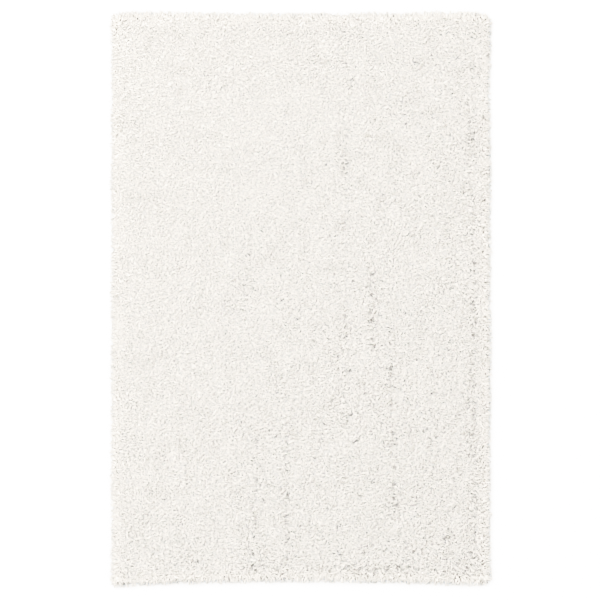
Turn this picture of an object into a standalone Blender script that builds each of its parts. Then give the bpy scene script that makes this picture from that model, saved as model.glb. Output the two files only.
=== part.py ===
"""A shag rug of about 4 by 6 feet, lying flat: a ground cloth, and the deep lumpy pile that stands on it.

Metres, +Z up. The origin is on the floor under the rug's middle. X runs across the rug, and Y along it
from the foot end to the head end.
"""

import math
import random
from collections import namedtuple

import bmesh
import bpy
from mathutils import Vector, noise

# The rug over its pile, locks included
RUG_WIDTH = 1.220
RUG_LENGTH = 1.850
HEAD_BOW = 0.009  # how far the middle of the head end curves in
FOOT_BOW = 0.015
CORNER_RADIUS = 0.018

# Ground cloth
CLOTH_THICKNESS = 0.002
CLOTH_INSET = 0.024  # from the rug's outline to the cloth's edge
BOW_POINTS = 12  # along one end of the cloth
CORNER_POINTS = 4

# Pile
CLEARANCE = 0.0003
PILE_TOP = 0.037  # mean height of the pile's top over the floor
PILE_CELLS_ACROSS = 37
PILE_CELLS_ALONG = 56
Lump = namedtuple("Lump", "size height")
LUMPS = (
    Lump(size=0.041, height=0.0130),
    Lump(size=0.115, height=0.0060),
    Lump(size=0.480, height=0.0030),
)

# Rows round the pile's side, from the shoulder down to the ground cloth
RimRow = namedtuple("RimRow", "inset height waviness")
RIM = (
    RimRow(inset=0.0210, height=0.0330, waviness=0.0000),
    RimRow(inset=0.0030, height=0.0230, waviness=0.0050),
    RimRow(inset=0.0010, height=0.0100, waviness=0.0030),
    RimRow(inset=0.0060, height=CLOTH_THICKNESS + CLEARANCE, waviness=0.0010),
)
LOCK_ROW = 1  # the locks grow between this row and the next

# Partings, where the pile opens along its rows. Each runs between two points
Parting = namedtuple("Parting", "x_foot y_foot x_head y_head depth")
PARTINGS = (
    Parting(x_foot=-0.160, y_foot=-0.885, x_head=-0.140, y_head=-0.430, depth=0.0080),
    Parting(x_foot=-0.038, y_foot=-0.850, x_head=-0.045, y_head=-0.400, depth=0.0080),
    Parting(x_foot=-0.186, y_foot=-0.050, x_head=-0.160, y_head=0.220, depth=0.0060),
    Parting(x_foot=0.232, y_foot=-0.170, x_head=0.225, y_head=0.130, depth=0.0070),
    Parting(x_foot=0.145, y_foot=-0.420, x_head=0.148, y_head=0.540, depth=0.0050),
    Parting(x_foot=0.310, y_foot=-0.690, x_head=0.285, y_head=-0.100, depth=0.0070),
    Parting(x_foot=0.560, y_foot=-0.880, x_head=0.552, y_head=0.660, depth=0.0070),
)
PARTING_WIDTH = 0.020

# Locks, the yarn ends that lean out past the pile's side
LOCK_SHARE = 0.72  # of the lock row's faces, which carry up to 300 locks in all
LOCK_REACH = 0.017
LOCK_SWAY = 0.0050
LOCK_SEED = 30
# Sections along a lock: its way out, down and aside as shares, and its size as a share of the root
Section = namedtuple("Section", "out down aside size")
RESTING_LOCK = (
    Section(out=0.50, down=0.30, aside=0.20, size=0.76),
    Section(out=0.80, down=1.00, aside=0.60, size=0.46),
    Section(out=1.00, down=1.00, aside=1.00, size=0.26),
)
LIFTED_LOCK = (
    Section(out=0.55, down=-0.05, aside=-0.10, size=0.72),
    Section(out=1.00, down=0.30, aside=0.90, size=0.28),
)


def bow(across, along):
    """How far an end's curve draws a point towards the rug's middle, at shares -1 to 1 of both ways."""
    depth = HEAD_BOW if along > 0 else FOOT_BOW
    return -math.copysign(depth * (1 - across**2) * along**2, along)


def place(across, along, inset):
    """The point at these shares of a rug's outline that is drawn in by inset, with its corners rounded."""
    half_width = RUG_WIDTH / 2 - inset
    half_length = RUG_LENGTH / 2 - inset
    x, y = across * half_width, along * half_length
    core = Vector((half_width - CORNER_RADIUS, half_length - CORNER_RADIUS))
    past = Vector((abs(x) - core.x, abs(y) - core.y))
    if min(past) > 0 and past.length > CORNER_RADIUS:
        past *= CORNER_RADIUS / past.length
        x = math.copysign(core.x + past.x, x)
        y = math.copysign(core.y + past.y, y)
    return Vector((x, y + bow(across, along)))


def parting_depth(point):
    """How far the partings lower the pile's top at a point."""
    depth = 0.0
    for parting in PARTINGS:
        foot = Vector((parting.x_foot, parting.y_foot))
        run = Vector((parting.x_head, parting.y_head)) - foot
        share = min(1.0, max(0.0, (point - foot).dot(run) / run.length_squared))
        away = (point - foot - share * run).length
        depth = max(depth, parting.depth * math.exp(-((away / PARTING_WIDTH) ** 2)))
    return depth


def lumps(point):
    """The rise or fall of the pile's tufts at a point."""
    return sum(lump.height * noise.noise(Vector((point.x, point.y, lump.size)) / lump.size) for lump in LUMPS)


def named_material(name, colour, roughness):
    material = bpy.data.materials.new(name)
    material.use_nodes = True
    shader = material.node_tree.nodes["Principled BSDF"]
    shader.inputs["Base Color"].default_value = (*colour, 1.0)
    shader.inputs["Roughness"].default_value = roughness
    shader.inputs["Metallic"].default_value = 0.0
    return material


def ground_cloth(collection):
    """The woven cloth that carries the pile: a flat sheet whose ends bow in."""
    half_width, half_length = RUG_WIDTH / 2 - CLOTH_INSET, RUG_LENGTH / 2 - CLOTH_INSET
    radius = CORNER_RADIUS / 2
    outline = []
    for side_x, side_y in ((1, 1), (-1, 1), (-1, -1), (1, -1)):
        # The corner's arc, then the end between it and the next corner
        turn = math.atan2(side_y, side_x) - math.pi / 4
        centre = Vector((side_x * (half_width - radius), side_y * (half_length - radius)))
        for step in range(CORNER_POINTS + 1):
            angle = turn + step / CORNER_POINTS * math.pi / 2
            outline.append(centre + radius * Vector((math.cos(angle), math.sin(angle))))
        if side_x == side_y:
            for step in range(1, BOW_POINTS):
                across = side_x * (1 - 2 * step / BOW_POINTS)
                end_y = side_y * half_length + bow(across, side_y)
                outline.append(Vector((across * (half_width - radius), end_y)))
    curve = bpy.data.curves.new("ground_cloth", "CURVE")
    curve.dimensions = "2D"
    curve.fill_mode = "BOTH"
    curve.extrude = CLOTH_THICKNESS / 2
    spline = curve.splines.new("POLY")
    spline.points.add(len(outline) - 1)
    for point, corner in zip(spline.points, outline):
        point.co = (*corner, 0, 1)
    spline.use_cyclic_u = True
    cloth = bpy.data.objects.new("ground_cloth", curve)
    cloth.location.z = CLOTH_THICKNESS / 2
    curve.materials.append(named_material("ground_cloth", (0.80, 0.74, 0.62), 0.9))
    collection.objects.link(cloth)


def halved(ring):
    """A closed ring of points with one more between each two."""
    middles = [(point + following) / 2 for point, following in zip(ring, ring[1:] + ring[:1])]
    return [point for pair in zip(ring, middles) for point in pair]


def skin(mesh, upper, lower):
    """Joins two rings of points by faces, where either ring may be the halved one. Returns the faces."""
    faces = []
    cells = min(len(upper), len(lower))
    for cell in range(cells):
        corners = []
        for ring in (lower, upper):
            step = len(ring) // cells
            corners.append([ring[(cell * step + point) % len(ring)] for point in range(step + 1)])
        faces.append(mesh.faces.new(corners[0] + corners[1][::-1]))
    return faces


def unit_pile():
    """The pile in shares, and its lock faces: x and y are -1 to 1, and -z counts the rows round its side."""
    mesh = bmesh.new()
    bmesh.ops.create_grid(mesh, x_segments=PILE_CELLS_ACROSS, y_segments=PILE_CELLS_ALONG, size=1)
    ring = sorted((v for v in mesh.verts if v.is_boundary), key=lambda v: math.atan2(v.co.y, v.co.x))
    outline = [v.co.xy for v in ring]
    for row in range(1, len(RIM)):
        carries_locks = row in (LOCK_ROW, LOCK_ROW + 1)
        points = halved(outline) if carries_locks else outline
        below = [mesh.verts.new((*point, -row)) for point in points]
        faces = skin(mesh, ring, below)
        if row == LOCK_ROW + 1:
            lock_faces = faces
        ring = below
    mesh.faces.new(ring[::-1])
    return mesh, lock_faces


def shape_pile(mesh):
    """Moves the unit pile's points to their real places."""
    for vert in mesh.verts:
        across, along, row = vert.co.x, vert.co.y, RIM[round(-vert.co.z)]
        inset = LOCK_REACH + row.inset
        point = place(across, along, inset)
        wave = noise.noise(Vector((point.x, point.y, row.height)) / LUMPS[0].size)
        if row is RIM[0]:
            edge_share = max(abs(across) ** PILE_CELLS_ACROSS, abs(along) ** PILE_CELLS_ALONG)
            rise = lumps(point) - parting_depth(point)
            height = PILE_TOP + rise + edge_share * (row.height - PILE_TOP)
        else:
            point = place(across, along, inset + row.waviness * wave)
            height = row.height
        vert.co = (*point, height)


def grow_lock(mesh, face, rng):
    """Draws a face of the pile's side out into a lock that leans to the floor or stays lifted."""
    root = face.calc_center_median()
    outward = face.normal.copy()
    outward.z = 0
    outward.normalize()
    aside = Vector((-outward.y, outward.x, 0))
    reach = LOCK_REACH * rng.uniform(0.55, 1.15)
    sway = LOCK_SWAY * rng.uniform(-1, 1)
    sections = RESTING_LOCK if rng.random() < 0.5 else LIFTED_LOCK
    shape = [v.co - root for v in face.verts]
    lowest = min(offset.z for offset in shape)
    half = Vector((RUG_WIDTH / 2, RUG_LENGTH / 2))
    for section in sections:
        centre = root + outward * reach * section.out + aside * sway * section.aside
        floor_height = CLEARANCE - lowest * section.size
        centre.z = root.z + (floor_height - root.z) * section.down
        face = bmesh.ops.extrude_discrete_faces(mesh, faces=[face])["faces"][0]
        for vert, offset in zip(face.verts, shape):
            vert.co = centre + offset * section.size
            vert.co.x = max(-half.x, min(half.x, vert.co.x))
            vert.co.y = max(-half.y, min(half.y, vert.co.y))


def pile(collection):
    """The deep pile, one lumpy slab of yarn with locks fused to its rim."""
    mesh, lock_faces = unit_pile()
    shape_pile(mesh)
    mesh.normal_update()
    rng = random.Random(LOCK_SEED)
    for face in lock_faces:
        if rng.random() < LOCK_SHARE:
            grow_lock(mesh, face, rng)
    bmesh.ops.triangulate(mesh, faces=mesh.faces)
    data = bpy.data.meshes.new("pile")
    mesh.to_mesh(data)
    mesh.free()
    data.shade_smooth()
    data.materials.append(named_material("pile", (0.90, 0.88, 0.82), 0.95))
    collection.objects.link(bpy.data.objects.new("pile", data))


for old in list(bpy.data.objects):
    bpy.data.objects.remove(old)
rug = bpy.data.collections.new("shag_rug")
bpy.context.scene.collection.children.link(rug)
ground_cloth(rug)
pile(rug)
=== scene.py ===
import math
from collections import namedtuple

import bmesh
import bpy
import numpy as np
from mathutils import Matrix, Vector, noise
from mathutils.bvhtree import BVHTree


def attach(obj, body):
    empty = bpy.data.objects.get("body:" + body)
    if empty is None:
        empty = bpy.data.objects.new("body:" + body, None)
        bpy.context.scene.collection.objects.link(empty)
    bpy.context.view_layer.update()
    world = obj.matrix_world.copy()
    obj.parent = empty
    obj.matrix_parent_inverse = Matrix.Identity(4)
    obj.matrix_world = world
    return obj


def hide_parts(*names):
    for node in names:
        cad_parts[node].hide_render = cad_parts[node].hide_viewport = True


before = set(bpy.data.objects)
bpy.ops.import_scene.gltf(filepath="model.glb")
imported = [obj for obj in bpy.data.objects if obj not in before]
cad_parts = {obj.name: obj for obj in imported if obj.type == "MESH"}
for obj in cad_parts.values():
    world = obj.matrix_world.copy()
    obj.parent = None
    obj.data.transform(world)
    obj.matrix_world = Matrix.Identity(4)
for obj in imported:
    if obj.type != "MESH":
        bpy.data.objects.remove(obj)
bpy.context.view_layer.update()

# ---------------------------------------------------------------------------------------------------------
# Ground cloth
# A coarse natural cloth of cotton and jute in plain weave, which the yarn is hooked through row by row. It
# follows the rug's outline a little further in, and lies flat on the floor. Its hooked rows show from below.

RUG_WIDTH = 1.220
RUG_LENGTH = 1.850
HEAD_BOW = 0.009  # how far the middle of the head end curves in
FOOT_BOW = 0.015
HEAD_CORNERS = (0.010, 0.012)  # how far the left and the right corner are drawn in at the head
FOOT_CORNERS = (0.000, 0.007)
CORNER_REACH = 0.055  # from the corner along the end
CORNER_RADIUS = 0.018
CLOTH_INSET = 0.024  # from the rug's outline to the cloth's edge
CLOTH_THICKNESS = 0.002
CLOTH_CELL = 0.030
CLOTH_CHAMFER = 0.0005
THREAD_PITCH = 0.0030
THREAD_BLEND = 0.15  # how softly one way of the weave takes over from the other
ROW_PITCH = 0.0080
STITCH_BULGE = 0.35  # how much a hooked row widens at each stitch
STITCH_EDGE = (0.25, 0.55)  # where a stitch starts, and where it is full
STITCH_HEIGHT = 1.5  # as a share of a thread's
FIBRE_DETAIL = 4.0
FIBRE_ROUGHNESS = 0.65
FIBRE_HEIGHTS = (0.3, 0.7)  # the lowest and the highest that they reach
FIBRE_BULGE = 0.5  # of the fibres, as a share of the thread's or the ply's that they lie on
CLUMP_SCALE = 0.12  # of the clumps that fibres lie in, as a share of the fibres' own
CLUMP_DETAIL = 2.0
CLUMP_EDGE = (0.35, 0.65)
CLOTH_FIBRES = 900.0  # for each metre
CLOTH_WEAR = 0.15
CLOTH_BUMP = (0.6, 0.0006)  # strength and height
CLOTH_ROUGHNESS = (0.80, 0.95)  # low and high on the fibres
COTTON = (0.74, 0.68, 0.55, 1)
JUTE = (0.55, 0.46, 0.32, 1)
IVORY = (0.86, 0.83, 0.77, 1)


def end_bow(across, along):
    """How far the nearer end is bowed in and drawn in at its corners, at shares -1 to 1 of both ways."""
    bow = np.where(along > 0, HEAD_BOW, FOOT_BOW) * (1 - across**2)
    corner = np.where(along > 0, np.where(across < 0, *HEAD_CORNERS), np.where(across < 0, *FOOT_CORNERS))
    from_side = (1 - np.abs(across)) * RUG_WIDTH / 2
    return bow + corner * np.exp(-((from_side / CORNER_REACH) ** 2))


def rug_place(across, along, inset):
    """x and y at shares -1 to 1 of the rug's outline drawn in by inset, with round corners and bowed ends."""
    half_width = RUG_WIDTH / 2 - inset
    half_length = RUG_LENGTH / 2 - inset
    x, y = across * half_width, along * half_length
    past_x = np.abs(x) - (half_width - CORNER_RADIUS)
    past_y = np.abs(y) - (half_length - CORNER_RADIUS)
    past = np.hypot(past_x, past_y)
    in_corner = (past_x > 0) & (past_y > 0) & (past > CORNER_RADIUS)
    shrink = CORNER_RADIUS / np.maximum(past, CORNER_RADIUS)
    x = np.where(in_corner, np.sign(x) * (half_width - CORNER_RADIUS + past_x * shrink), x)
    y = np.where(in_corner, np.sign(y) * (half_length - CORNER_RADIUS + past_y * shrink), y)
    return x, y - np.sign(along) * end_bow(across, along) * along**2


def slab(name, cell, rows, top_height):
    """A closed slab: a grid as high as top_height of x and y, with rows of (inset, height) down its side."""
    shell = bmesh.new()
    cells_across = round(RUG_WIDTH / cell)
    cells_along = round(RUG_LENGTH / cell)
    bmesh.ops.create_grid(shell, x_segments=cells_across, y_segments=cells_along, size=1)
    top = list(shell.verts)
    ring = sorted((v for v in top if v.is_boundary), key=lambda v: math.atan2(v.co.y, v.co.x))
    shares = np.array([v.co.xy for v in ring])
    for inset, height in rows[1:]:
        x, y = rug_place(shares[:, 0], shares[:, 1], inset)
        below = [shell.verts.new((*place, height)) for place in zip(x, y)]
        for here, there in zip(range(len(ring)), [*range(1, len(ring)), 0]):
            shell.faces.new((below[here], below[there], ring[there], ring[here]))
        ring = below
    shell.faces.new(ring[::-1])
    shares = np.array([v.co.xy for v in top])
    x, y = rug_place(shares[:, 0], shares[:, 1], rows[0][0])
    for vert, place in zip(top, zip(x, y, top_height(x, y))):
        vert.co = place
    mesh = bpy.data.meshes.new(name)
    shell.to_mesh(mesh)
    shell.free()
    mesh.shade_smooth()
    return mesh


def node(tree, kind, *values, **settings):
    """A new shader node. Values fill its inputs in order: numbers, colours, other nodes' outputs, or None."""
    made = tree.nodes.new("ShaderNode" + kind)
    for key, setting in settings.items():
        setattr(made, key, setting)
    for socket, value in zip(made.inputs, values):
        if isinstance(value, bpy.types.NodeSocket):
            tree.links.new(value, socket)
        elif value is not None:
            socket.default_value = value
    return made


def maths(tree, operation, *values):
    return node(tree, "Math", *values, operation=operation).outputs[0]


def mixed(tree, share, colour, other):
    """The output of a node that mixes two colours, each a colour or another node's output."""
    made = node(tree, "Mix", share, data_type="RGBA")
    colour_inputs = [socket for socket in made.inputs if socket.type == "RGBA"]
    for socket, value in zip(colour_inputs, (colour, other)):
        if isinstance(value, bpy.types.NodeSocket):
            tree.links.new(value, socket)
        else:
            socket.default_value = value
    return next(socket for socket in made.outputs if socket.type == "RGBA")


def fibre_group():
    """Fine loose fibres: a height for Bump, and a mask that is 1 where fibres lie thick."""
    group = bpy.data.node_groups.new("fibres", "ShaderNodeTree")
    group.interface.new_socket("Scale", in_out="INPUT", socket_type="NodeSocketFloat")
    group.interface.new_socket("Height", in_out="OUTPUT", socket_type="NodeSocketFloat")
    group.interface.new_socket("Mask", in_out="OUTPUT", socket_type="NodeSocketFloat")
    scale = group.nodes.new("NodeGroupInput").outputs["Scale"]
    places = node(group, "TexCoord").outputs["Object"]
    fine = node(group, "TexNoise", places, None, scale, FIBRE_DETAIL, FIBRE_ROUGHNESS).outputs["Fac"]
    clump_scale = maths(group, "MULTIPLY", scale, CLUMP_SCALE)
    coarse = node(group, "TexNoise", places, None, clump_scale, CLUMP_DETAIL).outputs["Fac"]
    out = group.nodes.new("NodeGroupOutput")
    group.links.new(fine, out.inputs["Height"])
    group.links.new(node(group, "MapRange", coarse, *CLUMP_EDGE).outputs[0], out.inputs["Mask"])
    return group


def fibres(tree, scale):
    """The fibres of that scale, as a node in a material."""
    made = tree.nodes.new("ShaderNodeGroup")
    made.node_tree = bpy.data.node_groups.get("fibres") or fibre_group()
    made.inputs["Scale"].default_value = scale
    return made


def ground_cloth_material():
    material = bpy.data.materials.new("ground_cloth")
    material.use_nodes = True
    tree = material.node_tree
    shader = tree.nodes["Principled BSDF"]
    shader.inputs["Sheen Weight"].default_value = 0.1
    shader.inputs["Specular IOR Level"].default_value = 0.2
    place = node(tree, "SeparateXYZ", node(tree, "TexCoord").outputs["Object"])
    x, y = place.outputs["X"], place.outputs["Y"]

    # Plain weave: each thread is a ridge, and the two ways take turns on top
    warp = maths(tree, "SINE", maths(tree, "MULTIPLY", x, math.pi / THREAD_PITCH))
    weft = maths(tree, "SINE", maths(tree, "MULTIPLY", y, math.pi / THREAD_PITCH))
    turn = maths(tree, "MULTIPLY", warp, weft)
    on_top = node(tree, "MapRange", turn, -THREAD_BLEND, THREAD_BLEND).outputs[0]
    ridges = maths(tree, "ADD", maths(tree, "ABSOLUTE", warp), maths(tree, "ABSOLUTE", weft))

    # Hooked rows: short ivory stitches side by side, one row for each row of yarn
    row = maths(tree, "COSINE", maths(tree, "MULTIPLY", x, 2 * math.pi / ROW_PITCH))
    stitch = maths(tree, "COSINE", maths(tree, "MULTIPLY", y, 2 * math.pi / (THREAD_PITCH * 2)))
    bump_of_stitch = maths(tree, "MULTIPLY_ADD", stitch, STITCH_BULGE, row)
    stitched = node(tree, "MapRange", bump_of_stitch, *STITCH_EDGE).outputs[0]

    fuzz = fibres(tree, CLOTH_FIBRES)
    threads = mixed(tree, on_top, JUTE, COTTON)
    clean = mixed(tree, stitched, threads, IVORY)
    worn = mixed(tree, maths(tree, "MULTIPLY", fuzz.outputs["Mask"], CLOTH_WEAR), clean, JUTE)
    tree.links.new(worn, shader.inputs["Base Color"])
    woven = maths(tree, "MULTIPLY_ADD", fuzz.outputs["Height"], FIBRE_BULGE, ridges)
    height = maths(tree, "MULTIPLY_ADD", stitched, STITCH_HEIGHT, woven)
    bump = node(tree, "Bump", *CLOTH_BUMP, None, height)
    tree.links.new(bump.outputs[0], shader.inputs["Normal"])
    rough = node(tree, "MapRange", fuzz.outputs["Height"], *FIBRE_HEIGHTS, *CLOTH_ROUGHNESS).outputs[0]
    tree.links.new(rough, shader.inputs["Roughness"])
    return material


def add_piece(mesh, material):
    """A new piece of the rug, which rides on the rug's one body."""
    piece = bpy.data.objects.new(mesh.name, mesh)
    mesh.materials.append(material)
    bpy.context.scene.collection.objects.link(piece)
    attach(piece, "root")
    return piece


cloth_rows = (
    (CLOTH_INSET + CLOTH_CHAMFER, CLOTH_THICKNESS),
    (CLOTH_INSET, CLOTH_THICKNESS - CLOTH_CHAMFER),
    (CLOTH_INSET, CLOTH_CHAMFER),
    (CLOTH_INSET + CLOTH_CHAMFER, 0.0),
)
cloth_mesh = slab("ground_cloth_woven", CLOTH_CELL, cloth_rows, lambda x, y: np.full(len(x), CLOTH_THICKNESS))
ground_cloth = add_piece(cloth_mesh, ground_cloth_material())
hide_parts("ground_cloth")

# ---------------------------------------------------------------------------------------------------------
# Packed foot of the pile
# Below their loose ends the yarns stand so close that they make one springy mass. It is hardly seen, as
# shade between the ends, so it is one lumpy slab here, on the heights of the pile's solid. It is packed
# closest near the head's left corner, opens towards the right side and the foot, and parts along a few rows.

Parting = namedtuple("Parting", "x_foot y_foot x_head y_head gaps")
PARTINGS = (
    Parting(x_foot=-0.160, y_foot=-0.885, x_head=-0.140, y_head=-0.430, gaps=18),
    Parting(x_foot=-0.038, y_foot=-0.850, x_head=-0.045, y_head=-0.400, gaps=16),
    Parting(x_foot=-0.186, y_foot=-0.050, x_head=-0.160, y_head=0.220, gaps=12),
    Parting(x_foot=0.232, y_foot=-0.170, x_head=0.225, y_head=0.130, gaps=12),
    Parting(x_foot=0.145, y_foot=-0.420, x_head=0.148, y_head=0.540, gaps=26),
    Parting(x_foot=0.310, y_foot=-0.690, x_head=0.285, y_head=-0.100, gaps=26),
    Parting(x_foot=0.560, y_foot=-0.880, x_head=0.552, y_head=0.660, gaps=75),
    Parting(x_foot=-0.190, y_foot=-0.868, x_head=0.570, y_head=-0.872, gaps=26),
)
PARTING_DEPTH = 0.003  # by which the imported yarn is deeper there
PARTING_WIDTH = 0.009
PACKED_CELL = 0.012
PACKED_DEPTH = (0.0062, 0.0112)  # from the top of the yarn ends down to it, where it is closed and open
PACKED_LUMP = 0.010
PACKED_LUMP_HEIGHT = 0.002
PACKED_LOWEST = 0.012
PACKED_ROWS = ((0.018, 0.0), (0.011, 0.019), (0.007, 0.010), (0.010, 0.0023))  # inset and height
PACKED_LIGHT = (0.87, 0.86, 0.845, 1)
# painted shade: the colour of the low strands, darker for the depth between the ends
PACKED_PAINTED_SHADE = (0.59, 0.595, 0.60, 1)
STRAND_LENGTH = 0.010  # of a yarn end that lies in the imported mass
STRAND_WIDTH = 0.0036
STRAND_ANGLES = (0.3, 0.9, 1.6, 2.2, 2.8)
STRAND_BACK = 0.65  # share of a cell over which a strand's round back falls
STRAND_LOWEST = 0.4  # height of the lowest strand, as a share of the highest
STRAND_SHADES = (0.25, 0.75)  # heights where the painted shade is darkest and lightest
OPENNESS = 0.50  # at the rug's middle, from 0 where the pile is closed to 1 where it is open
OPENNESS_RIGHTWARD = 0.35
OPENNESS_FOOTWARD = 0.30
OPENNESS_UNEVEN = 0.50
OPENNESS_PATCH = 0.055
RIM_DEPTH = 0.75  # share of that depth at the first of the next insets, where the ends are held up closer
RIM_INSETS = (0.020, 0.050)
SHOULDER_INSETS = (0.000, 0.005, 0.010, 0.015, 0.020, 0.030, 0.040, 0.050)
SHOULDER_HEIGHTS = (0.008, 0.017, 0.023, 0.0275, 0.031, 0.0355, 0.0370, 0.0375)
SHOULDER_LUMP = 0.041
SHOULDER_LUMP_HEIGHT = 0.005
SHOULDER_BLEND = (0.030, 0.070)  # insets from which the shoulder gives way, and the solid's height holds
RAY_HEIGHT = 1.0  # from which the solid's height is felt for

pile_solid = BVHTree.FromObject(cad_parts["pile"], bpy.context.evaluated_depsgraph_get())


def inset_of(x, y):
    """How far each point lies inside the rug's outline."""
    across = np.clip(x / (RUG_WIDTH / 2), -1, 1)
    from_side = RUG_WIDTH / 2 - np.abs(x)
    from_end = RUG_LENGTH / 2 - end_bow(across, y) - np.abs(y)
    past_x = np.maximum(CORNER_RADIUS - from_side, 0)
    past_y = np.maximum(CORNER_RADIUS - from_end, 0)
    in_corner = (past_x > 0) & (past_y > 0)
    return np.where(in_corner, CORNER_RADIUS - np.hypot(past_x, past_y), np.minimum(from_side, from_end))


def uneven(x, y, size):
    """A smooth noise at each point, of about -0.5 to 0.5, in lumps of that size."""
    return np.array([noise.noise(Vector((*place, size)) / size) for place in zip(x, y)])


def openness(x, y):
    """How open the pile is at each point, from 0 to 1."""
    even = OPENNESS + OPENNESS_RIGHTWARD * x / (RUG_WIDTH / 2) - OPENNESS_FOOTWARD * y / (RUG_LENGTH / 2)
    return np.clip(even + OPENNESS_UNEVEN * uneven(x, y, OPENNESS_PATCH), 0, 1)


def pile_height(x, y):
    """The height of the pile's top at each point, from the solid, and rounded off over its shoulder."""
    heights = []
    for place in zip(x, y):
        hit = pile_solid.ray_cast(Vector((*place, RAY_HEIGHT)), Vector((0, 0, -1)))[0]
        heights.append(hit.z if hit else 0.0)
    inset = inset_of(x, y)
    shoulder = np.interp(inset, SHOULDER_INSETS, SHOULDER_HEIGHTS)
    shoulder += SHOULDER_LUMP_HEIGHT * uneven(x, y, SHOULDER_LUMP)
    within = np.interp(inset, SHOULDER_BLEND, (0, 1))
    return within * np.array(heights) + (1 - within) * shoulder


def from_parting(x, y):
    """How far each point is from the nearest parting."""
    away = np.full(len(x), np.inf)
    for parting in PARTINGS:
        run_x, run_y = parting.x_head - parting.x_foot, parting.y_head - parting.y_foot
        along = (x - parting.x_foot) * run_x + (y - parting.y_foot) * run_y
        share = np.clip(along / (run_x**2 + run_y**2), 0, 1)
        off = np.hypot(x - parting.x_foot - share * run_x, y - parting.y_foot - share * run_y)
        away = np.minimum(away, off)
    return away


def packed_height(x, y):
    """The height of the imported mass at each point, some way below the pile's top."""
    depth = np.interp(openness(x, y), (0, 1), PACKED_DEPTH)
    depth *= np.interp(inset_of(x, y), RIM_INSETS, (RIM_DEPTH, 1))
    depth += PARTING_DEPTH * np.exp(-((from_parting(x, y) / PARTING_WIDTH) ** 2))
    height = pile_height(x, y) - depth + PACKED_LUMP_HEIGHT * uneven(x, y, PACKED_LUMP)
    return np.maximum(height, PACKED_LOWEST)


def packed_yarn_material():
    material = bpy.data.materials.new("packed_yarn")
    material.use_nodes = True
    tree = material.node_tree
    shader = tree.nodes["Principled BSDF"]
    shader.inputs["Roughness"].default_value = 0.95
    shader.inputs["Specular IOR Level"].default_value = 0.1

    # Yarn ends that lie over each other, as long cells in a few directions. The highest shows, and the lower
    # ones get painted shade
    places = node(tree, "TexCoord").outputs["Object"]
    height = 0.0
    for angle in STRAND_ANGLES:
        way = node(tree, "VectorRotate", places, None, None, angle, rotation_type="Z_AXIS").outputs[0]
        drawn = node(tree, "VectorMath", way, (1 / STRAND_LENGTH, 1 / STRAND_WIDTH, 0), operation="MULTIPLY")
        cell = node(tree, "TexVoronoi", drawn.outputs[0], None, 1.0, voronoi_dimensions="2D")
        round_back = node(tree, "MapRange", cell.outputs["Distance"], 0.0, STRAND_BACK, 1.0, 0.0)
        round_back.interpolation_type = "SMOOTHSTEP"
        chosen = node(tree, "SeparateColor", cell.outputs["Color"]).outputs["Red"]
        lift = maths(tree, "MULTIPLY_ADD", chosen, 1 - STRAND_LOWEST, STRAND_LOWEST)
        raised = maths(tree, "MULTIPLY", round_back.outputs[0], lift)
        height = maths(tree, "MAXIMUM", height, raised)
    # The lower a strand lies, the darker it is painted, as painted shade between the ends
    shade = node(tree, "MapRange", height, *STRAND_SHADES).outputs[0]
    tree.links.new(mixed(tree, shade, PACKED_PAINTED_SHADE, PACKED_LIGHT), shader.inputs["Base Color"])
    bump = node(tree, "Bump", 1.0, STRAND_WIDTH, None, height)
    tree.links.new(bump.outputs[0], shader.inputs["Normal"])
    return material


packed_mesh = slab("packed_pile", PACKED_CELL, PACKED_ROWS, packed_height)
packed_pile = add_piece(packed_mesh, packed_yarn_material())
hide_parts("pile")

# ---------------------------------------------------------------------------------------------------------
# Gaps in the pile
# The yarns fall apart here and there and leave small dark gaps between their ends. Many lie along the
# partings, and the others where the pile is open.

PARTING_SPREAD = 0.0045
LOOSE_GAPS = 3600  # tried over the whole rug
LOOSE_REACH = (0.93, 0.95)  # how far out they are tried across and along the rug, as shares
GAP_BIAS = 2  # power by which gaps are rarer where the pile is closed, and large ones rarer than small
PARTING_GAP_SIZE = (0.0027, 0.0044)  # from the middle to a side
LOOSE_GAP_SIZE = (0.0018, 0.0048)
GAP_SQUARE = 0.0005

chance = np.random.default_rng(11)


def gap_places():
    """x, y and half the size of each gap."""
    xs, ys = [], []
    for parting in PARTINGS:
        share = chance.uniform(0, 1, parting.gaps)
        xs.append(parting.x_foot + share * (parting.x_head - parting.x_foot))
        ys.append(parting.y_foot + share * (parting.y_head - parting.y_foot))
    x = np.concatenate(xs)
    x = x + chance.normal(0, PARTING_SPREAD, len(x))
    y = np.concatenate(ys)
    y = y + chance.normal(0, PARTING_SPREAD, len(y))
    reach_x, reach_y = LOOSE_REACH
    loose_x = chance.uniform(-reach_x, reach_x, LOOSE_GAPS) * RUG_WIDTH / 2
    loose_y = chance.uniform(-reach_y, reach_y, LOOSE_GAPS) * RUG_LENGTH / 2
    kept = chance.uniform(0, 1, LOOSE_GAPS) < openness(loose_x, loose_y) ** GAP_BIAS
    x = np.concatenate([x, loose_x[kept]])
    y = np.concatenate([y, loose_y[kept]])
    along_partings = chance.uniform(*PARTING_GAP_SIZE, len(x) - kept.sum())
    loose = np.interp(chance.uniform(0, 1, kept.sum()) ** GAP_BIAS, (0, 1), LOOSE_GAP_SIZE)
    return x, y, np.concatenate([along_partings, loose])


def gap_map():
    """True in each small square of the rug that lies over a gap, counted from the foot's left corner."""
    squares = np.zeros((round(RUG_WIDTH / GAP_SQUARE), round(RUG_LENGTH / GAP_SQUARE)), bool)
    for x, y, radius in zip(*gap_places()):
        low_x, low_y = gap_square(x - radius, y - radius)
        high_x, high_y = gap_square(x + radius, y + radius)
        squares[low_x : high_x + 1, low_y : high_y + 1] = True
    return squares


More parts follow.
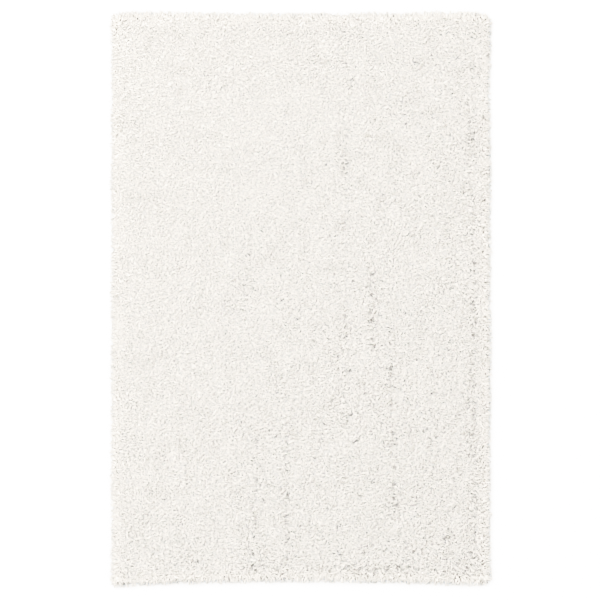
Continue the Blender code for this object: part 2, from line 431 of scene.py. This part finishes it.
def gap_square(x, y):
    """The square of the gap map that holds each point, or the nearest one."""
    last_x, last_y = round(RUG_WIDTH / GAP_SQUARE) - 1, round(RUG_LENGTH / GAP_SQUARE) - 1
    at_x = np.clip((x + RUG_WIDTH / 2) / GAP_SQUARE, 0, last_x).astype(int)
    at_y = np.clip((y + RUG_LENGTH / 2) / GAP_SQUARE, 0, last_y).astype(int)
    return at_x, at_y


gaps = gap_map()

# ---------------------------------------------------------------------------------------------------------
# Yarn ends
# Soft twisted yarn of about 3 mm, hooked in rows lengthwise and cut. The last 11 to 17 mm of each yarn is
# loose and leans over its neighbours, whichever way it fell.

YARN_RADIUS = 0.0016
YARN_RADII = (0.85, 1.15)  # the thinnest and the thickest yarn, as shares
YARN_SIDES = 3
YARN_SIZES = (1.10, 0.85)  # halfway and at the cut tip
YARN_TURN = 0.45  # radians by which the yarn's section turns from ring to ring
CURL_GROWTH = 1.5  # power by which a yarn curls more towards its tip
ENDS_ACROSS = 233
ENDS_ALONG = 352
ENDS_INSET = 0.019
ENDS_JITTER = 0.0018
END_LENGTH = (0.011, 0.017)
END_LEAN = (1.12, 0.78)  # radians from upright, where the pile is closed and open
END_LEAN_SPREAD = 0.25
END_DROOP = 0.35  # how much less and more their two halves lean
END_CURL = 0.6
END_RISE = (0.0003, 0.0024)  # how uneven their tops are, where the pile is closed and open
BANDS = 5
GAP_TRIES = 5
GAP_CHECKS = (0.0, 0.3, 0.6, 0.9)  # shares of an end's length at which it is kept off the gaps
SUNK = 0.007  # how far an end that still lies over a gap is pushed down
END_ACROSS = 2.0  # how much rather they fall to the side of their row than along it
RIM_BIAS = 0.50  # how much they turn outward at the rim
RIM_BIAS_REACH = 0.060
LEAST_AWAY = 0.001  # from a side or an end, where the way out is worked out
YARN_FIBRES = 700.0  # for each metre
FIBRE_TINT = 0.3  # share of the warm tint that lies in clumps of fibres, where the rest is the yarn's own
PLIES = 2.0
PLY_TWIST = 0.8  # how far the plies wind on from ring to ring
YARN_BUMP = (0.7, 0.0008)  # strength and height
YARN_ROUGHNESS = (0.75, 0.95)  # low and high on the fibres
YARN_LIGHT = (0.915, 0.900, 0.878, 1)
YARN_WARM = (0.880, 0.860, 0.830, 1)
YARN_FOOT_PAINTED_SHADE = (0.345, 0.35, 0.355, 1)  # painted shade of the yarns' feet, for the ends in the gaps, and a little of it on the rim


def turned(heading, share, wanted):
    """The heading turned by a share of the way towards the wanted one."""
    x = (1 - share) * np.cos(heading) + share * np.cos(wanted)
    y = (1 - share) * np.sin(heading) + share * np.sin(wanted)
    return np.arctan2(y, x)


def outward_heading(x, y):
    """The heading from each point to the nearest side or end of the rug."""
    to_side = np.maximum(RUG_WIDTH / 2 - np.abs(x), LEAST_AWAY)
    to_end = np.maximum(RUG_LENGTH / 2 - np.abs(y), LEAST_AWAY)
    return np.arctan2(np.sign(y) / to_end, np.sign(x) / to_side)


def yarn_path(x, y, heading, curl, leans, length):
    """Points along each yarn end from its root, at height 0, and the heading at each point."""
    stretches = leans.shape[1]
    headings = heading[:, None] + curl[:, None] * np.linspace(0, 1, stretches) ** CURL_GROWTH
    step = length[:, None] / stretches
    moves = np.stack(
        [
            step * np.sin(leans) * np.cos(headings),
            step * np.sin(leans) * np.sin(headings),
            step * np.cos(leans),
        ],
        axis=2,
    )
    path = np.concatenate([np.zeros((len(x), 1, 3)), np.cumsum(moves, axis=1)], axis=1)
    path[:, :, 0] += x[:, None]
    path[:, :, 1] += y[:, None]
    return path, np.concatenate([headings, headings[:, -1:]], axis=1)


def yarn_mesh(name, path, headings, radius, shade):
    """One mesh of many yarn ends. Each starts at a point, has a ring at each further point, and is cut."""
    count, rings = len(path), path.shape[1] - 1
    along = np.gradient(path, axis=1)[:, 1:]
    along /= np.linalg.norm(along, axis=2, keepdims=True)
    side = np.stack([-np.sin(headings), np.cos(headings), np.zeros_like(headings)], axis=2)[:, 1:]
    over = np.cross(along, side)
    over /= np.linalg.norm(over, axis=2, keepdims=True)
    side = np.cross(over, along)
    turn = np.arange(YARN_SIDES) * 2 * math.pi / YARN_SIDES + np.arange(rings)[:, None] * YARN_TURN
    turn = turn[None] + chance.uniform(0, 2 * math.pi, (count, 1, 1))
    spread = (radius[:, None] * YARN_SIZES)[:, :, None, None]
    ring = spread * (np.cos(turn)[..., None] * side[:, :, None] + np.sin(turn)[..., None] * over[:, :, None])
    ring_points = (path[:, 1:, None] + ring).reshape(count, rings * YARN_SIDES, 3)
    points = np.concatenate([path[:, :1], ring_points], axis=1)
    points[:, :, 2] = np.maximum(points[:, :, 2], 0.0)

    # One yarn's faces, which every other repeats further on, and how far round the yarn each corner is
    corners, around = [], []
    last_ring = (rings - 1) * YARN_SIDES
    for edge in range(YARN_SIDES):
        here, there = 1 + edge, 1 + (edge + 1) % YARN_SIDES
        corners.append([0, there, here])
        around.append([edge + 0.5, edge + 1, edge])
        for low in range(0, last_ring, YARN_SIDES):
            high = low + YARN_SIDES
            corners.append([here + low, there + low, there + high, here + high])
            around.append([edge, edge + 1, edge + 1, edge])
    corners.append([1 + last_ring + edge for edge in range(YARN_SIDES)])
    around.append(list(range(YARN_SIDES)))
    corner_counts = [len(face) for face in corners]
    flat = np.concatenate(corners)
    points_each = points.shape[1]
    vertex = (flat[None] + np.arange(count)[:, None] * points_each).ravel()
    starts = np.concatenate([[0], np.cumsum(corner_counts)[:-1]])
    starts = (starts[None] + np.arange(count)[:, None] * len(flat)).ravel()

    mesh = bpy.data.meshes.new(name)
    mesh.vertices.add(count * points_each)
    mesh.vertices.foreach_set("co", points.ravel())
    mesh.loops.add(len(vertex))
    mesh.loops.foreach_set("vertex_index", vertex)
    mesh.polygons.add(len(starts))
    mesh.polygons.foreach_set("loop_start", starts)
    mesh.update(calc_edges=True)

    # Round the yarn and along it, for the twist of its plies
    wraps = mesh.uv_layers.new(name="yarn")
    ring_at = (flat + YARN_SIDES - 1) // YARN_SIDES
    wrap = np.stack([np.concatenate(around) / YARN_SIDES, ring_at], axis=1)
    wraps.uv.foreach_set("vector", np.tile(wrap, (count, 1)).ravel())
    tone_and_painted_shade = mesh.attributes.new("shade", "FLOAT", "POINT")
    tone_and_painted_shade.data.foreach_set("value", np.repeat(shade, points_each))
    mesh.shade_smooth()
    return mesh


def yarn_material():
    material = bpy.data.materials.new("shag_yarn")
    material.use_nodes = True
    tree = material.node_tree
    shader = tree.nodes["Principled BSDF"]
    shader.inputs["Specular IOR Level"].default_value = 0.2
    shader.inputs["Sheen Weight"].default_value = 0.6
    shader.inputs["Sheen Roughness"].default_value = 0.5

    # A yarn's shade is 0 to 1 as it is more or less warm, and 1 to 2 where it lies in a gap, where it mixes
    # in painted shade. The rim's yarns go a little past 1, for some painted shade too
    shade = node(tree, "Attribute", attribute_name="shade").outputs["Fac"]
    fuzz = fibres(tree, YARN_FIBRES)
    own_tint = maths(tree, "MULTIPLY", shade, 1 - FIBRE_TINT)
    patch = maths(tree, "MULTIPLY_ADD", fuzz.outputs["Mask"], FIBRE_TINT, own_tint)
    loose = mixed(tree, patch, YARN_LIGHT, YARN_WARM)
    # Painted shade, mixed in as the shade goes from 1 to 2
    foot = node(tree, "MapRange", shade, 1.0, 2.0).outputs[0]
    tree.links.new(mixed(tree, foot, loose, YARN_FOOT_PAINTED_SHADE), shader.inputs["Base Color"])

    # Plies that wind round the yarn, with fibres on them
    wrap = node(tree, "SeparateXYZ", node(tree, "UVMap", uv_map="yarn").outputs[0])
    around = maths(tree, "MULTIPLY", wrap.outputs["X"], PLIES)
    twist = maths(tree, "MULTIPLY_ADD", wrap.outputs["Y"], PLY_TWIST, around)
    ply = maths(tree, "ABSOLUTE", maths(tree, "SINE", maths(tree, "MULTIPLY", twist, math.pi)))
    height = maths(tree, "MULTIPLY_ADD", fuzz.outputs["Height"], FIBRE_BULGE, ply)
    bump = node(tree, "Bump", *YARN_BUMP, None, height)
    tree.links.new(bump.outputs[0], shader.inputs["Normal"])
    rough = node(tree, "MapRange", fuzz.outputs["Height"], *FIBRE_HEIGHTS, *YARN_ROUGHNESS).outputs[0]
    tree.links.new(rough, shader.inputs["Roughness"])
    return material


shag_yarn = yarn_material()
across, along = np.meshgrid(np.linspace(-1, 1, ENDS_ACROSS), np.linspace(1, -1, ENDS_ALONG))
end_x, end_y = rug_place(across.ravel(), along.ravel(), ENDS_INSET)
end_count = len(end_x)
end_x = end_x + chance.normal(0, ENDS_JITTER, end_count)
end_y = end_y + chance.normal(0, ENDS_JITTER, end_count)
end_openness = openness(end_x, end_y)
end_lean = np.interp(end_openness, (0, 1), END_LEAN) + chance.normal(0, END_LEAN_SPREAD, end_count)
end_leans = np.stack([end_lean - END_DROOP, end_lean + END_DROOP], axis=1)
end_length = chance.uniform(*END_LENGTH, end_count)
end_curl = chance.normal(0, END_CURL, end_count)
rim_bias = RIM_BIAS * np.clip(1 - inset_of(end_x, end_y) / RIM_BIAS_REACH, 0, 1)


def fallen():
    """A heading for each yarn end, whichever way it fell, but rather outward near the rim."""
    heading = chance.uniform(-math.pi, math.pi, end_count)
    heading = np.arctan2(np.sin(heading), END_ACROSS * np.cos(heading))
    return turned(heading, rim_bias, outward_heading(end_x, end_y))


def over_gap(path):
    """Whether each yarn end lies over a gap somewhere."""
    found = np.zeros(len(path), bool)
    for share in GAP_CHECKS:
        place = (1 - share) * path[:, 0] + share * path[:, -1]
        found |= gaps[gap_square(place[:, 0], place[:, 1])]
    return found


end_heading = fallen()
for attempt in range(GAP_TRIES):
    end_path, end_headings = yarn_path(end_x, end_y, end_heading, end_curl, end_leans, end_length)
    end_over_gap = over_gap(end_path)
    end_heading = np.where(end_over_gap, fallen(), end_heading)
end_rise = np.interp(end_openness, (0, 1), END_RISE)
end_top = pile_height(end_x, end_y) + end_rise * chance.normal(0, 1, end_count) - SUNK * end_over_gap
end_path[:, :, 2] += (end_top - end_path[:, :, 2].max(axis=1))[:, None]
end_radius = YARN_RADIUS * chance.uniform(*YARN_RADII, end_count)
# Ends still over a gap get 1 more, which gives them painted shade
end_shade = chance.uniform(0, 1, end_count) + end_over_gap

for band, members in enumerate(np.array_split(np.arange(end_count), BANDS), 1):
    mesh = yarn_mesh(
        f"yarn_ends_{band}",
        end_path[members],
        end_headings[members],
        end_radius[members],
        end_shade[members],
    )
    add_piece(mesh, shag_yarn)

# ---------------------------------------------------------------------------------------------------------
# Rim yarns
# The outermost yarns have no neighbour to hold them up, so they lean out over the cloth's edge in a soft
# fringe that hides it. The lowest lie on the floor, and the highest join the ends on the pile's top.

RimLevel = namedtuple("RimLevel", "share inset height first_lean last_lean spread")
RIM_LEVELS = (
    RimLevel(share=0.00, inset=0.0215, height=0.0035, first_lean=1.45, last_lean=1.60, spread=0.50),
    RimLevel(share=0.25, inset=0.0185, height=0.0105, first_lean=1.25, last_lean=1.85, spread=0.60),
    RimLevel(share=0.50, inset=0.0190, height=0.0160, first_lean=1.05, last_lean=2.00, spread=0.75),
    RimLevel(share=0.75, inset=0.0220, height=0.0210, first_lean=0.85, last_lean=1.90, spread=1.00),
    RimLevel(share=1.00, inset=0.0300, height=0.0235, first_lean=0.65, last_lean=1.60, spread=1.60),
)
RIM_WAVE = 0.0025
RIM_WAVE_LENGTH = 0.09
RIM_YARNS = 13000
RIM_POINTS = 400  # of the outline along each side and end
GOLDEN_STEP = 0.381966  # from one yarn's level to the next one's, which mixes the levels evenly
RIM_HEIGHT_SPREAD = 0.0015
RIM_RADIUS = (0.0014, 0.0018)  # of the lowest yarns and the highest
RIM_LENGTH = (0.012, 0.028)
RIM_END_REACH = 1.10  # how much longer they are at the head and the foot than at the sides
RIM_CURL = 0.5
RIM_LEAN_SPREAD = 0.18
# The rim's yarns are painted darker than the pile's top, as painted shade: in the warmest tone, and above 1
# with a little of the gaps' painted shade
RIM_SHADES = (0.90, 1.15)


def rim_roots(inset, walk_share):
    """The point at each share of the way round the rug, inset from its outline, and the heading out of it."""
    side = np.linspace(-1, 1, RIM_POINTS)[:-1]
    ones = np.ones_like(side)
    across = np.concatenate([ones, -side, -ones, side])
    along = np.concatenate([side, ones, -side, -ones])
    x, y = rug_place(across, along, 0.0)
    x, y = np.append(x, x[0]), np.append(y, y[0])
    distance = np.concatenate([[0], np.cumsum(np.hypot(np.diff(x), np.diff(y)))])
    stop = walk_share * distance[-1]
    ahead = (stop + inset) % distance[-1]
    behind = (stop - inset) % distance[-1]
    run_x = np.interp(ahead, distance, x) - np.interp(behind, distance, x)
    run_y = np.interp(ahead, distance, y) - np.interp(behind, distance, y)
    out = np.arctan2(-run_x, run_y)
    root_x = np.interp(stop, distance, x) - inset * np.cos(out)
    root_y = np.interp(stop, distance, y) - inset * np.sin(out)
    return root_x, root_y, out


rim_share = np.arange(RIM_YARNS) * GOLDEN_STEP % 1.0
level_shares = [level.share for level in RIM_LEVELS]
rim_inset, rim_height, first_lean, last_lean, rim_spread = (
    np.interp(rim_share, level_shares, [getattr(level, column) for level in RIM_LEVELS])
    for column in ("inset", "height", "first_lean", "last_lean", "spread")
)
rim_walk = (np.arange(RIM_YARNS) + chance.uniform(0, 1, RIM_YARNS)) / RIM_YARNS
rim_x, rim_y, rim_out = rim_roots(rim_inset, rim_walk)
rim_wave = RIM_WAVE * uneven(rim_x, rim_y, RIM_WAVE_LENGTH)
rim_x += rim_wave * np.cos(rim_out)
rim_y += rim_wave * np.sin(rim_out)
rim_leans = np.stack([first_lean, last_lean], axis=1) + chance.normal(0, RIM_LEAN_SPREAD, (RIM_YARNS, 2))
rim_path, rim_headings = yarn_path(
    rim_x,
    rim_y,
    rim_out + rim_spread * chance.normal(0, 1, RIM_YARNS),
    chance.normal(0, RIM_CURL, RIM_YARNS),
    rim_leans,
    chance.uniform(*RIM_LENGTH, RIM_YARNS) * (1 + (RIM_END_REACH - 1) * np.abs(np.sin(rim_out))),
)
rim_path[:, :, 2] += (rim_height + chance.normal(0, RIM_HEIGHT_SPREAD, RIM_YARNS))[:, None]
rim_path[:, :, 2] = np.maximum(rim_path[:, :, 2], YARN_RADIUS)
rim_mesh = yarn_mesh(
    "rim_yarns",
    rim_path,
    rim_headings,
    np.interp(rim_share, (0, 1), RIM_RADIUS) * chance.uniform(*YARN_RADII, RIM_YARNS),
    chance.uniform(*RIM_SHADES, RIM_YARNS),
)
rim_yarns = add_piece(rim_mesh, shag_yarn)

# ---------------------------------------------------------------------------------------------------------
# Studio
# A plain pale floor, a broad soft lamp almost overhead and a little to the upper left, pale light all round
# that is weaker near the horizon, and a camera straight above with a long lens.

VIEW_WIDTH = 1.9284  # at the level of the pile's top
LENS = 150.0
SENSOR = 36.0
AIM = (-0.0030, -0.0045)
PILE_LEVEL = 0.037
CLIP_END = 100
FLOOR_SIZE = 30.0
FLOOR_COLOUR = (0.72, 0.754, 0.789, 1)  # white in the lights, which are a little warm
LAMP_PLACE = Vector((-2.0, 2.2, 8.0))
LAMP_SIZE = 7.0
LAMP_POWER = 655
LAMP_TINT = (1.0, 0.955, 0.912)
SKY_STRENGTH = (0.8, 2.46)  # at the horizon and overhead
SKY_TINT = (1.0, 0.955, 0.912, 1)
BRIGHTEST = 3.0  # light at the right end of the curves
# Light, and how bright it shows
TONES = (
    (0.50, 0.325),
    (0.62, 0.495),
    (0.72, 0.628),
    (0.80, 0.718),
    (0.88, 0.793),
    (0.97, 0.851),
    (1.10, 0.903),
    (1.25, 0.946),
    (1.50, 0.981),
    (1.75, 1.000),
)
# The light's green and blue are changed from the first value to the second, so that the shades in the pile
# are no warmer than its lights
GREEN_CHANGES = ((0.64, 0.655), (0.84, 0.860), (0.97, 0.975), (1.20, 1.175), (1.75, 1.75))
BLUE_CHANGES = ((0.60, 0.630), (0.78, 0.812), (0.90, 0.908), (1.10, 1.045), (1.75, 1.75))

floor_shape = bmesh.new()
bmesh.ops.create_grid(floor_shape, x_segments=1, y_segments=1, size=FLOOR_SIZE)
floor_mesh = bpy.data.meshes.new("floor")
floor_shape.to_mesh(floor_mesh)
floor_shape.free()
floor = bpy.data.objects.new("floor", floor_mesh)
floor_material = bpy.data.materials.new("pale_floor")
floor_material.use_nodes = True
floor_shader = floor_material.node_tree.nodes["Principled BSDF"]
floor_shader.inputs["Base Color"].default_value = FLOOR_COLOUR
floor_shader.inputs["Roughness"].default_value = 0.9
floor_shader.inputs["Specular IOR Level"].default_value = 0.0
floor_mesh.materials.append(floor_material)
bpy.context.scene.collection.objects.link(floor)

lamp_data = bpy.data.lights.new("soft_lamp", "AREA")
lamp_data.size = LAMP_SIZE
lamp_data.energy = LAMP_POWER
lamp_data.color = LAMP_TINT
lamp = bpy.data.objects.new("soft_lamp", lamp_data)
lamp.location = LAMP_PLACE
lamp.rotation_euler = (-LAMP_PLACE).to_track_quat("-Z", "Y").to_euler()
bpy.context.scene.collection.objects.link(lamp)

world = bpy.data.worlds.new("pale_room")
world.use_nodes = True
room = world.node_tree
sky = room.nodes["Background"]
sky.inputs["Color"].default_value = SKY_TINT
above = node(room, "SeparateXYZ", node(room, "TexCoord").outputs["Generated"]).outputs["Z"]
strength = node(room, "MapRange", above, 0.0, 1.0, *SKY_STRENGTH).outputs[0]
seen = maths(room, "MULTIPLY", node(room, "LightPath").outputs["Is Camera Ray"], SKY_STRENGTH[1])
room.links.new(maths(room, "MAXIMUM", strength, seen), sky.inputs["Strength"])
bpy.context.scene.world = world

# Soft tones like a product photograph's: the floor goes to white, and the rug keeps its shades
tones = bpy.context.scene.view_settings
tones.view_transform = "Standard"
tones.use_curve_mapping = True
tones.curve_mapping.white_level = (BRIGHTEST,) * 3
_, green_curve, blue_curve, all_curve = tones.curve_mapping.curves
for light, shown in TONES:
    all_curve.points.new(light / BRIGHTEST, shown)
for curve, changes in ((green_curve, GREEN_CHANGES), (blue_curve, BLUE_CHANGES)):
    for light, changed in changes:
        curve.points.new(light / BRIGHTEST, changed / BRIGHTEST)
tones.curve_mapping.update()

camera_data = bpy.data.cameras.new("camera")
camera_data.lens = LENS
camera_data.sensor_width = SENSOR
camera_data.clip_end = CLIP_END
camera = bpy.data.objects.new("camera", camera_data)
camera.location = (*AIM, PILE_LEVEL + VIEW_WIDTH * LENS / SENSOR)
bpy.context.scene.collection.objects.link(camera)
bpy.context.scene.camera = camera
